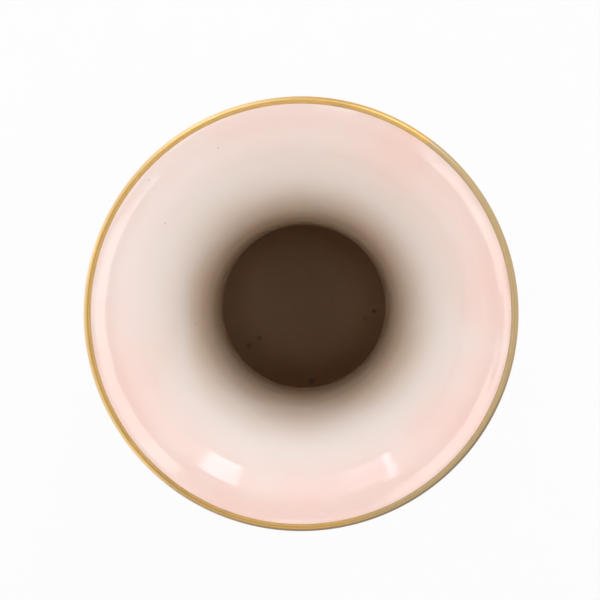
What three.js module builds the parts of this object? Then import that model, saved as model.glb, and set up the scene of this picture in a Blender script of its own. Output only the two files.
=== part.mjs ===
// A porcelain baluster vase with a trumpet mouth, built up the way a factory sticks one together:
// turned sections joined with slip, two applied moulded rings, and fired gilding on the lip, the rings,
// the foot and two fine lines. Millimetres, +Z up. The origin is the centre of the foot, on the surface
// that it stands on.
import * as THREE from "three";

// Driving dimensions.
const HEIGHT = 305;
const MOUTH_RADIUS = 70;
const THROAT_RADIUS = 31.1; // the narrowest part of the bore
const THROAT_HEIGHT = 190;
const FLARE_RADIUS = 71; // where the flare would come level, just past the lip
const FLARE_POWER = 2.6; // 2 would be a plain elliptical flare, and more keeps the neck straight for longer
const BELLY_RADIUS = 71;
const BELLY_HEIGHT = 116;
const WAIST_RADIUS = 26;
const FOOT_RADIUS = 46;
const FOOT_HEIGHT = 22.4;
const FASCIA = { low: 3.9, high: 8 }; // the upright edge of the foot, which is gilded

// Walls, joints and gilding.
const NECK_WALL = 4.5;
const BODY_WALL = 4.2;
const FOOT_WALL = 7.5;
const FLOOR_THICKNESS = 7.5;
const LIP_THICKNESS = 3.4;
const LIP_GILT_WIDTH = 2.5;
const SLIP_THICKNESS = 1; // the layer of slip in a joint
const GAP = 0.3; // between pieces that touch
const GILT_THICKNESS = 0.5;
const GILT_LINE_WIDTH = 1.2;
const RIM_HEIGHT = 2.6; // the unglazed ring that the vase stands on
const RIM_WIDTH = 5.4;

// Heights worked out from them.
const JOINT = SLIP_THICKNESS + 2 * GAP;
const FOOT_BASE = RIM_HEIGHT + GAP;
const BODY_BASE = FOOT_HEIGHT + JOINT;
const SHOULDER_BASE = BELLY_HEIGHT + JOINT;
const SHOULDER_TOP = THROAT_HEIGHT - 6;
const NECK_BASE = SHOULDER_TOP + JOINT;
const NECK_TOP = THROAT_HEIGHT + 62;
const MOUTH_BASE = NECK_TOP + JOINT;
const LIP_GILT_START = MOUTH_RADIUS - LIP_GILT_WIDTH;

const SEGMENTS = 40;
const STEPS = { body: 9, shoulder: 9, neck: 4, mouth: 11, lip: 6, ring: 4, cove: 5 };

const materials = {
  glaze: new THREE.MeshStandardMaterial({ color: 0xf3dccf, roughness: 0.12, metalness: 0 }),
  biscuit: new THREE.MeshStandardMaterial({ color: 0xe9e2d6, roughness: 0.8, metalness: 0 }),
  slip: new THREE.MeshStandardMaterial({ color: 0xe3dacb, roughness: 0.7, metalness: 0 }),
  gilding: new THREE.MeshStandardMaterial({ color: 0xc99b52, roughness: 0.3, metalness: 1 }),
};

// A point of an outline, as a distance from the axis and a height.
const at = (radius, height) => new THREE.Vector2(radius, height);

const backwards = (points) => [...points].reverse();

function curve(steps, ...controls) {
  return new THREE.CubicBezierCurve(...controls).getPoints(steps);
}

// Half an ellipse about a centre, bulging away from the axis and running upwards.
function halfRound(centre, outwards, upwards, steps) {
  return Array.from({ length: steps + 1 }, (_, i) => {
    const angle = (i / steps - 0.5) * Math.PI;
    return at(centre.x + outwards * Math.cos(angle), centre.y + upwards * Math.sin(angle));
  });
}

// The other side of a wall whose outer surface climbs: the line moved inwards, and cut level at both ends.
// The wall is of even thickness, or goes evenly from the first thickness to the last.
function otherSide(points, firstThickness, lastThickness = firstThickness) {
  const last = points.length - 1;
  const moved = points.map((point, i) => {
    const way = points[Math.min(i + 1, last)].clone().sub(points[Math.max(i - 1, 0)]).normalize();
    const thickness = THREE.MathUtils.lerp(firstThickness, lastThickness, i / last);
    return at(point.x - way.y * thickness, point.y + way.x * thickness);
  });
  moved[0].y = points[0].y;
  moved[last].y = points[last].y;
  return moved;
}

// Where a line that climbs passes a height.
function pointAtHeight(points, height) {
  const above = Math.max(points.findIndex((point) => point.y >= height), 1);
  const [low, high] = [points[above - 1], points[above]];
  return low.clone().lerp(high, (height - low.y) / (high.y - low.y));
}

// A closed outline turned about the axis. It runs up the outside and down the inside, or from axis to axis.
function turned(name, outline, material) {
  const onAxis = outline[0].x === 0;
  const points = onAxis ? outline : [...outline, outline[0].clone()];
  const geometry = new THREE.LatheGeometry(points, SEGMENTS).rotateX(Math.PI / 2);
  const mesh = new THREE.Mesh(geometry, material);
  mesh.name = name;
  return mesh;
}

// A ring of square section.
function band(name, [inner, outer], [low, high], material) {
  return turned(name, [at(inner, low), at(outer, low), at(outer, high), at(inner, high)], material);
}

// A level layer of slip between two sections.
function lute(name, inner, outer, base) {
  return band(name, [inner, outer], [base + GAP, base + GAP + SLIP_THICKNESS], materials.slip);
}

// A gilt line that stands just off a climbing outer surface.
function giltLine(name, surface, middle) {
  const half = GILT_LINE_WIDTH / 2;
  const ends = [pointAtHeight(surface, middle - half), pointAtHeight(surface, middle + half)];
  const near = otherSide(ends, -GAP);
  const far = otherSide(ends, -GAP - GILT_THICKNESS);
  return turned(name, [...far, ...backwards(near)], materials.gilding);
}

// A moulded ring with a half-round section, applied round a joint.
function appliedRing(name, inner, middle, halfHeight, outwards) {
  return turned(name, halfRound(at(inner, middle), outwards, halfHeight, STEPS.ring), materials.gilding);
}

// The bore of the neck and mouth, a quarter of a superellipse from the throat to where it would come level.
// The steps are even in angle, so they crowd where the flare turns.
function flare(fromHeight, toHeight, steps) {
  const rise = HEIGHT - THROAT_HEIGHT;
  const angleAt = (height) => Math.asin(((height - THROAT_HEIGHT) / rise) ** (FLARE_POWER / 2));
  return Array.from({ length: steps + 1 }, (_, i) => {
    const angle = THREE.MathUtils.lerp(angleAt(fromHeight), angleAt(toHeight), i / steps);
    const inwards = Math.cos(angle) ** (2 / FLARE_POWER);
    const climb = Math.sin(angle) ** (2 / FLARE_POWER);
    return at(THREE.MathUtils.lerp(FLARE_RADIUS, THROAT_RADIUS, inwards), THROAT_HEIGHT + rise * climb);
  });
}

// The climbing surfaces that neighbouring pieces share.
const bodyOutside = curve(
  STEPS.body,
  at(WAIST_RADIUS, BODY_BASE + 4),
  at(WAIST_RADIUS + 18, BODY_BASE + 14),
  at(BELLY_RADIUS, BELLY_HEIGHT - 38),
  at(BELLY_RADIUS, BELLY_HEIGHT),
);
const shoulderOutside = curve(
  STEPS.shoulder,
  at(BELLY_RADIUS, SHOULDER_BASE),
  at(BELLY_RADIUS, SHOULDER_BASE + 38),
  at(THROAT_RADIUS + NECK_WALL + 5, SHOULDER_TOP - 28),
  at(THROAT_RADIUS + NECK_WALL, SHOULDER_TOP),
);
const neckInside = [at(THROAT_RADIUS + 0.3, NECK_BASE), ...flare(THROAT_HEIGHT, NECK_TOP, STEPS.neck)];
const neckOutside = otherSide(neckInside, -NECK_WALL);

function footRim() {
  const outer = FOOT_RADIUS - 1.8;
  const inner = outer - RIM_WIDTH;
  const sole = [at(inner + 0.8, 0), at(outer - 1, 0)];
  const side = [at(outer, 1), at(outer, RIM_HEIGHT)];
  return turned("foot_rim", [...sole, ...side, at(inner, RIM_HEIGHT), at(inner, 0.8)], materials.biscuit);
}

// A spreading foot, hollow underneath, that is drawn in to a narrow waist.
function pedestalFoot() {
  const edge = [at(FOOT_RADIUS - 1, FOOT_BASE), at(FOOT_RADIUS, FASCIA.low), at(FOOT_RADIUS, FASCIA.high)];
  const top = at(FOOT_RADIUS - 2, FASCIA.high + 1.8);
  const waist = at(WAIST_RADIUS, FOOT_HEIGHT - 2.8);
  const cove = curve(STEPS.cove, top, at(top.x - 9, top.y + 0.7), at(waist.x, waist.y - 6.6), waist);
  const hollow = at(WAIST_RADIUS - 6, FOOT_HEIGHT);
  const mouth = at(FOOT_RADIUS - FOOT_WALL, FOOT_BASE);
  const recess = curve(STEPS.cove, hollow, at(hollow.x, 13), at(mouth.x - 8, mouth.y + 3), mouth);
  const outline = [...edge, ...cove, at(WAIST_RADIUS, FOOT_HEIGHT), ...recess];
  return turned("pedestal_foot", outline, materials.glaze);
}

function footGiltBand() {
  const inner = FOOT_RADIUS + GAP;
  const heights = [FASCIA.low, FASCIA.high];
  return band("foot_gilt_band", [inner, inner + GILT_THICKNESS], heights, materials.gilding);
}

// The lower body, with the floor of the vase.
function bodyCup() {
  const floor = BODY_BASE + FLOOR_THICKNESS;
  const wall = otherSide(bodyOutside, BODY_WALL).filter((point) => point.y > floor + 1);
  const base = [at(0, BODY_BASE), at(WAIST_RADIUS, BODY_BASE)];
  const bottom = [at(wall[0].x - 3, floor), at(0, floor)];
  return turned("body_cup", [...base, ...bodyOutside, ...backwards(wall), ...bottom], materials.glaze);
}

function shoulderShell() {
  const inside = otherSide(shoulderOutside, BODY_WALL);
  return turned("shoulder_shell", [...shoulderOutside, ...backwards(inside)], materials.glaze);
}

function neckTube() {
  return turned("neck_tube", [...neckOutside, ...backwards(neckInside)], materials.glaze);
}

// The flare, with a wall that thins from the neck's to the lip's. It stops short of the gilding.
function trumpetMouth() {
  const whole = flare(MOUTH_BASE, HEIGHT, STEPS.mouth);
  const end = at(LIP_GILT_START - GAP, HEIGHT);
  const inside = [...whole.filter((point) => point.x < end.x - 1), end];
  const outside = otherSide(inside, -NECK_WALL, -LIP_THICKNESS);
  outside[outside.length - 1].set(end.x, end.y - LIP_THICKNESS);
  return turned("trumpet_mouth", [...outside, ...backwards(inside)], materials.glaze);
}

// The rounded end of the wall, gilded all over.
function giltLip() {
  const round = LIP_THICKNESS / 2;
  const centre = at(MOUTH_RADIUS - round, HEIGHT - round);
  const bead = halfRound(centre, round, round, STEPS.lip);
  const outline = [at(LIP_GILT_START, centre.y - round), ...bead, at(LIP_GILT_START, centre.y + round)];
  return turned("gilt_lip", outline, materials.gilding);
}

const neckOuterRadius = THROAT_RADIUS + NECK_WALL;
const neckTopRadii = [neckInside, neckOutside].map((surface) => pointAtHeight(surface, NECK_TOP).x);

const vase = new THREE.Group();
vase.add(
  footRim(),
  pedestalFoot(),
  footGiltBand(),
  lute("foot_lute", WAIST_RADIUS - 6, WAIST_RADIUS, FOOT_HEIGHT),
  appliedRing("waist_ring", WAIST_RADIUS + GAP, FOOT_HEIGHT + JOINT / 2, 3.2, 5),
  bodyCup(),
  lute("belly_lute", BELLY_RADIUS - BODY_WALL, BELLY_RADIUS, BELLY_HEIGHT),
  shoulderShell(),
  giltLine("shoulder_gilt_line", shoulderOutside, SHOULDER_TOP - 14),
  lute("shoulder_lute", THROAT_RADIUS + 0.5, neckOuterRadius - 0.2, SHOULDER_TOP),
  appliedRing("neck_ring", neckOuterRadius + 4 * GAP, SHOULDER_TOP + JOINT / 2, 3, 3.8),
  neckTube(),
  giltLine("neck_gilt_line", neckOutside, THROAT_HEIGHT + 6),
  lute("neck_lute", ...neckTopRadii, NECK_TOP),
  trumpetMouth(),
  giltLip(),
);

export default vase;
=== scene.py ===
"""A porcelain baluster vase with a blushed trumpet mouth and fired gilding, dressed on its frame.

Every piece is turned about the vase's upright axis from an outline, in metres, and takes its place and
its main sizes from the frame. The outside is porcelain shaded from ivory to blush, as the inside is.
"""

import logging
import math
from dataclasses import dataclass, field
from enum import Enum
from itertools import pairwise

import bpy
from mathutils import Matrix, Vector


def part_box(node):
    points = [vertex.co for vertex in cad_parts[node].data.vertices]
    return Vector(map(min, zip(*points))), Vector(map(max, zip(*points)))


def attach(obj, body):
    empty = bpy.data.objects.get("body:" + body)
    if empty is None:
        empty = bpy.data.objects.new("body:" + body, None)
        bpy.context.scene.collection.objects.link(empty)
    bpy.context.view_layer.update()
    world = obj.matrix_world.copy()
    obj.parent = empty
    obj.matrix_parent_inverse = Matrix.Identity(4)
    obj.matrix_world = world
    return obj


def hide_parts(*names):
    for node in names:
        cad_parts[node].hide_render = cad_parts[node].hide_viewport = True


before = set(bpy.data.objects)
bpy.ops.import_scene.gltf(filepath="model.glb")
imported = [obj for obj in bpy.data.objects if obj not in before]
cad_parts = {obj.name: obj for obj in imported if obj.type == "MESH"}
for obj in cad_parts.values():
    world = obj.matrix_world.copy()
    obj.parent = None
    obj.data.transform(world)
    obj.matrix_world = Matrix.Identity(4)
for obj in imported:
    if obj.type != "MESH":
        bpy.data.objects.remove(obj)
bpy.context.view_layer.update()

log = logging.getLogger("vase")

MM = 0.001
SEGMENTS = 192
SEAM = 1e-6  # points closer than this are one point
SMOOTH_ANGLE = math.radians(32)
NECK_WALL = 4.5 * MM
LIP_GILT_WIDTH = 2.5 * MM
WHITE = (1.0, 1.0, 1.0)
DAYLIGHT = (0.94, 1.0, 1.14)
LEVEL = (1, 1, 0)  # what flattens a place onto the ground
CLOUDS = (0.3, 0.7)  # the values that a cloudy pattern mostly lies between

Point = tuple[float, float]
Outline = list[Point]
Colour = tuple[float, float, float]
Direction = tuple[float, float, float]
Socket = bpy.types.NodeSocket


# ---------------------------------------------------------------------------------------------------------
# Outlines: lists of (distance from the axis, height)
# ---------------------------------------------------------------------------------------------------------


def curve(start: Point, pull: Point, push: Point, end: Point, steps: int = 24) -> Outline:
    """Draw a cubic curve.

    Args:
        start: Where the curve starts.
        pull: The handle that it leaves towards.
        push: The handle that it arrives from.
        end: Where the curve ends.
        steps: How many straight steps it is drawn in.

    Returns:
        The points of the curve, ends included.
    """
    points = []
    for step in range(steps + 1):
        t = step / steps
        shares = ((1 - t) ** 3, 3 * t * (1 - t) ** 2, 3 * t * t * (1 - t), t ** 3)
        handles = (start, pull, push, end)
        points.append(tuple(sum(s * h[axis] for s, h in zip(shares, handles)) for axis in (0, 1)))
    return points


def arc(centre: Point, radii: Point, first: float, last: float, steps: int = 16) -> Outline:
    """Draw part of an ellipse.

    Args:
        centre: The ellipse's centre.
        radii: Its half width and half height.
        first: The angle that it starts at, in degrees anticlockwise from straight out.
        last: The angle that it ends at.
        steps: How many straight steps it is drawn in.

    Returns:
        The points of the arc, ends included.
    """
    points = []
    for step in range(steps + 1):
        angle = math.radians(first + (last - first) * step / steps)
        points.append((centre[0] + radii[0] * math.cos(angle), centre[1] + radii[1] * math.sin(angle)))
    return points


def beside(line: Outline, walls: list[float]) -> Outline:
    """Draw the other face of a wall, level with the line where it starts.

    Args:
        line: The face that is known, climbing.
        walls: The wall's thickness at each of its points, below 0 where the other face is further out.

    Returns:
        The other face, from the same end to the same end.
    """
    end = len(line) - 1
    face = []
    for i, ((radius, height), wall) in enumerate(zip(line, walls)):
        before, after = line[max(i - 1, 0)], line[min(i + 1, end)]
        along, up = after[0] - before[0], after[1] - before[1]
        length = math.hypot(along, up)
        face.append((radius - up / length * wall, height + along / length * wall))
    face[0] = (face[0][0], line[0][1])
    return face


def tube(inner: float, outer: float, low: float, high: float) -> Outline:
    """Draw the section of a plain upright tube.

    Args:
        inner: The radius of its bore.
        outer: The radius of its outside.
        low: The height that it stands at.
        high: The height of its top.

    Returns:
        Its four corners.
    """
    return [(inner, low), (outer, low), (outer, high), (inner, high)]


def between(line: Outline, low: float, high: float) -> Outline:
    """Cut the stretch of a climbing line between two heights.

    Args:
        line: The line that is cut.
        low: The lower height.
        high: The upper height.

    Returns:
        The points between, with new ones at both cuts.
    """

    def cut(height: float) -> Point:
        """Find the line's point at a height.

        Args:
            height: The height.

        Returns:
            The point, or the nearer end of the line where it doesn't reach that height.
        """
        for (r0, z0), (r1, z1) in pairwise(line):
            if z0 <= height <= z1:
                return (r0 + (r1 - r0) * (height - z0) / (z1 - z0), height)
        return line[0] if height < line[0][1] else line[-1]

    inner = [point for point in line if low + SEAM < point[1] < high - SEAM]
    return [cut(low), *inner, cut(high)]


@dataclass(frozen=True)
class Bore:
    """The inside of the neck and the mouth, whose flare is one quarter of a superellipse.

    Attributes:
        throat_radius: The radius of its narrowest part.
        throat_height: The height of that part.
        level_radius: Where the flare would come level, just past the lip.
        level_height: The height that it would come level at.
        power: How long the neck stays straight, where 2 is a plain ellipse.
    """

    throat_radius: float
    throat_height: float
    level_radius: float
    level_height: float
    power: float = 2.6

    def flare(self, edge: float, steps: int = 110) -> Outline:
        """Draw the flare from the throat out to a radius.

        Args:
            edge: The radius that it stops at.
            steps: How many straight steps it is drawn in.

        Returns:
            The points of the flare, climbing, ends included.
        """
        rise = self.level_height - self.throat_height
        across = self.level_radius - self.throat_radius
        last = math.acos(((self.level_radius - edge) / across) ** (self.power / 2))
        points = []
        for step in range(steps + 1):
            angle = last * step / steps
            inwards = math.cos(angle) ** (2 / self.power)
            climb = math.sin(angle) ** (2 / self.power)
            points.append((self.level_radius - across * inwards, self.throat_height + rise * climb))
        return points


# ---------------------------------------------------------------------------------------------------------
# Turning an outline on the wheel
# ---------------------------------------------------------------------------------------------------------


class Face(Enum):
    """Which face of a wall a finish goes on."""

    OUTER = "outer"
    INNER = "inner"


@dataclass
class Wheel:
    """Turns outlines into pieces and hands them to the frame.

    Attributes:
        segments: How many flat strips go round a piece.
        body: The frame's body that every piece rides on.
    """

    segments: int = SEGMENTS
    body: str = "root"

    def turn(self, node: str, outline: Outline) -> bpy.types.Object:
        """Draw an outline in edit mode, spin it once round and close it.

        Args:
            node: The frame's node that the piece stands for.
            outline: The corners of a closed loop, or a line from the axis to the axis.

        Returns:
            The finished mesh object, at the origin.
        """
        bpy.ops.object.select_all(action="DESELECT")
        bpy.ops.mesh.primitive_plane_add(size=MM, location=(outline[0][0], 0, outline[0][1]))
        piece = bpy.context.object
        piece.name = piece.data.name = f"{node}_turned"
        bpy.ops.object.transform_apply(location=True, rotation=False, scale=False)
        bpy.ops.object.mode_set(mode="EDIT")
        bpy.ops.mesh.select_all(action="SELECT")
        bpy.ops.mesh.merge(type="CENTER")
        on_axis = outline[0][0] < SEAM and outline[-1][0] < SEAM
        for here, there in pairwise(outline if on_axis else [*outline, outline[0]]):
            step = (there[0] - here[0], 0, there[1] - here[1])
            bpy.ops.mesh.extrude_region_move(TRANSFORM_OT_translate={"value": step})
        bpy.ops.mesh.select_all(action="SELECT")
        bpy.ops.mesh.remove_doubles(threshold=SEAM)
        bpy.ops.mesh.spin(steps=self.segments, angle=math.tau, center=(0, 0, 0), axis=(0, 0, 1))
        bpy.ops.mesh.select_all(action="SELECT")
        bpy.ops.mesh.remove_doubles(threshold=SEAM)
        bpy.ops.mesh.select_all(action="SELECT")
        bpy.ops.mesh.normals_make_consistent(inside=False)
        bpy.ops.object.mode_set(mode="OBJECT")
        bpy.ops.object.shade_smooth_by_angle(angle=SMOOTH_ANGLE)
        return piece

    def dress(self, piece: bpy.types.Object, outer: bpy.types.Material,
              inner: bpy.types.Material | None = None) -> None:
        """Give a piece its finish, and its inner face another one where it has one.

        Args:
            piece: The mesh object.
            outer: The finish of the faces that look away from the axis.
            inner: The finish of the faces that look towards the axis.
        """
        piece.data.materials.append(outer)
        if inner is None:
            return
        piece.data.materials.append(inner)
        for polygon in piece.data.polygons:
            across = Vector((polygon.center.x, polygon.center.y, 0))
            polygon.material_index = int(polygon.normal.dot(across) < 0)

    def make(self, node: str, slot: str, outline: Outline, outer: bpy.types.Material,
             inner: bpy.types.Material | None = None) -> bpy.types.Object:
        """Turn a piece, dress it and put it in the place of a node of the frame.

        Args:
            node: The node that it stands for.
            slot: Not used.
            outline: Its outline.
            outer: The finish of the faces that look away from the axis.
            inner: The finish of the faces that look towards the axis, if it is another one.

        Returns:
            The piece.
        """
        piece = self.turn(node, outline)
        self.dress(piece, outer, inner)
        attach(piece, self.body)
        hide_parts(node)
        return piece


# ---------------------------------------------------------------------------------------------------------
# Finishes
# ---------------------------------------------------------------------------------------------------------


@dataclass
class Sketch:
    """A short way to lay out shader nodes and join them.

    Attributes:
        tree: The node tree that is drawn on.
    """

    tree: bpy.types.NodeTree

    def node(self, kind: str, **settings: object) -> bpy.types.Node:
        """Add a node.

        Args:
            kind: The node's type, without its ShaderNode prefix.
            settings: Its options.

        Returns:
            The new node.
        """
        made = self.tree.nodes.new(f"ShaderNode{kind}")
        for key, value in settings.items():
            setattr(made, key, value)
        return made

    def feed(self, socket: Socket, value: object) -> None:
        """Join a socket to an output, or set its value.

        Args:
            socket: The input that is fed.
            value: An output to join to it, or a number, vector or colour to set.
        """
        if isinstance(value, Socket):
            self.tree.links.new(value, socket)
        elif isinstance(value, tuple) and len(value) == 3 and socket.type == "RGBA":
            socket.default_value = (*value, 1)
        else:
            socket.default_value = value

    def maths(self, operation: str, *values: object) -> Socket:
        """Work out a number.

        Args:
            operation: The Math node's operation.
            values: Its inputs, in order.

        Returns:
            The result.
        """
        made = self.node("Math", operation=operation)
        for socket, value in zip(made.inputs, values):
            self.feed(socket, value)
        return made.outputs[0]

    def vector(self, operation: str, *values: object, output: str = "Vector") -> Socket:
        """Work out a vector, or a number, from vectors.

        Args:
            operation: The Vector Math node's operation.
            values: Its inputs, in order.
            output: Which output is read, "Vector" or "Value".

        Returns:
            The result.
        """
        made = self.node("VectorMath", operation=operation)
        for socket, value in zip(made.inputs, values):
            self.feed(socket, value)
        return made.outputs[output]

    def span(self, value: object, low: float, high: float, start: object = 0.0, end: object = 1.0) -> Socket:
        """Ease a number from one range to another.

        Args:
            value: The number.
            low: Where the old range starts.
            high: Where it ends.
            start: The result at low and below.
            end: The result at high and above.

        Returns:
            The eased number.
        """
        made = self.node("MapRange", interpolation_type="SMOOTHSTEP")
        for socket, given in zip(made.inputs, (value, low, high, start, end)):
            self.feed(socket, given)
        return made.outputs[0]

    def blend(self, share: object, first: object, second: object) -> Socket:
        """Mix two colours.

        Args:
            share: How much of the second is mixed in.
            first: The first colour.
            second: The second colour.

        Returns:
            The mixed colour.
        """
        made = self.node("Mix", data_type="RGBA")
        sockets = [socket for socket in made.inputs if socket.enabled]
        for socket, value in zip(sockets, (share, first, second)):
            self.feed(socket, value)
        return next(socket for socket in made.outputs if socket.enabled)

    def noise(self, where: Socket, scale: float, detail: float = 2.0, rough: float = 0.5) -> Socket:
        """Read a cloudy pattern, from 0 to 1 about a middle of a half.

        Args:
            where: The place that is read.
            scale: How many clouds fit in a metre.
            detail: How many finer layers it has.
            rough: How strong those are.

        Returns:
            The pattern's value.
        """
        made = self.node("TexNoise", noise_dimensions="3D")
        for name, value in (("Vector", where), ("Scale", scale), ("Detail", detail), ("Roughness", rough)):
            self.feed(made.inputs[name], value)
        return made.outputs[0]

    def clouds(self, where: Socket, scale: float, detail: float, ends: Point, rough: float = 0.5) -> Socket:
        """Read a cloudy pattern, eased between two values.

        Args:
            where: The place that is read.
            scale: How many clouds fit in a metre.
            detail: How many finer layers it has.
            ends: The two values.
            rough: How strong the finer layers are.

        Returns:
            The pattern's value.
        """
        return self.span(self.noise(where, scale, detail, rough), *CLOUDS, *ends)

    def drift(self, where: Socket, scale: float, detail: float, reach: float) -> Socket:
        """Read a cloudy shift back and forth.

        Args:
            where: The place that is read.
            scale: How many clouds fit in a metre.
            detail: How many finer layers it has.
            reach: The furthest that it shifts either way.

        Returns:
            The shift.
        """
        return self.maths("MULTIPLY_ADD", self.noise(where, scale, detail), 2 * reach, -reach)

    def bump(self, height: Socket, depth: float, under: Socket | None = None) -> Socket:
        """Turn a height into a surface direction.

        Args:
            height: The height, from 0 to 1.
            depth: How far the surface moves for a height of 1, in metres.
            under: Another bump that it lies on.

        Returns:
            The direction, for a shader's normal.
        """
        made = self.node("Bump")
        made.inputs["Strength"].default_value = 1.0
        made.inputs["Distance"].default_value = depth
        self.feed(made.inputs["Height"], height)
        if under is not None:
            self.feed(made.inputs["Normal"], under)
        return made.outputs[0]

    def parts(self, where: Socket) -> tuple[Socket, Socket, Socket]:
        """Split a place or a direction.

        Args:
            where: The place or direction.

        Returns:
            What it is along X, Y and Z.
        """
        made = self.node("SeparateXYZ")
        self.feed(made.inputs[0], where)
        return tuple(made.outputs)

    def from_axis(self, where: Socket) -> Socket:
        """Measure how far a place is from the upright axis.

        Args:
            where: The place.

        Returns:
            The distance.
        """
        return self.vector("LENGTH", self.vector("MULTIPLY", where, LEVEL), output="Value")

    def bearing(self, where: Socket) -> Socket:
        """Work out the bearing of a place from the axis.

        Args:
            where: The place.

        Returns:
            The bearing, in radians anticlockwise from +X.
        """
        across, along, _ = self.parts(where)
        return self.maths("ARCTAN2", along, across)

    def facing(self, angle: Socket, bearing: float) -> Socket:
        """Say how nearly a bearing points a given way.

        Args:
            angle: The bearing, in radians.
            bearing: The way, in degrees anticlockwise from +X.

        Returns:
            1 where it points that way, 0 square to it and -1 the other way.
        """
        return self.maths("COSINE", self.maths("SUBTRACT", angle, math.radians(bearing)))

    def rays(self) -> tuple[Socket, Socket]:
        """Tell the kinds of rays apart.

        Returns:
            1 for a ray from the camera, and 1 for a mirrored or a refracted one.
        """
        path = self.node("LightPath").outputs
        mirrored = self.maths("MAXIMUM", path["Is Glossy Ray"], path["Is Transmission Ray"])
        return path["Is Camera Ray"], mirrored


def blank(name: str) -> tuple[bpy.types.Material, Sketch, bpy.types.Node]:
    """Start a material.

    Args:
        name: The material's name.

    Returns:
        The material, a sketch of its nodes and its shader.
    """
    made = bpy.data.materials.new(name)
    made.use_nodes = True
    return made, Sketch(made.node_tree), made.node_tree.nodes["Principled BSDF"]


def surface(made: bpy.types.Material, sketch: Sketch, shader: Socket) -> None:
    """Give a material another shader than the one that it starts with.

    Args:
        made: The material.
        sketch: Its nodes.
        shader: The other shader.
    """
    sketch.feed(made.node_tree.nodes["Material Output"].inputs[0], shader)


@dataclass(frozen=True)
class Fleck:
    """A small firing mark in the glaze, or a painted glint where its tint is light.

    Attributes:
        across: Its middle along X.
        along: Its middle along Y.
        radius: How far it reaches.
        strength: How strong it is at its middle, from 0 to 1.
        tint: Its colour.
    """

    across: float
    along: float
    radius: float
    strength: float
    tint: Colour = (0.10, 0.06, 0.04)


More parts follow.
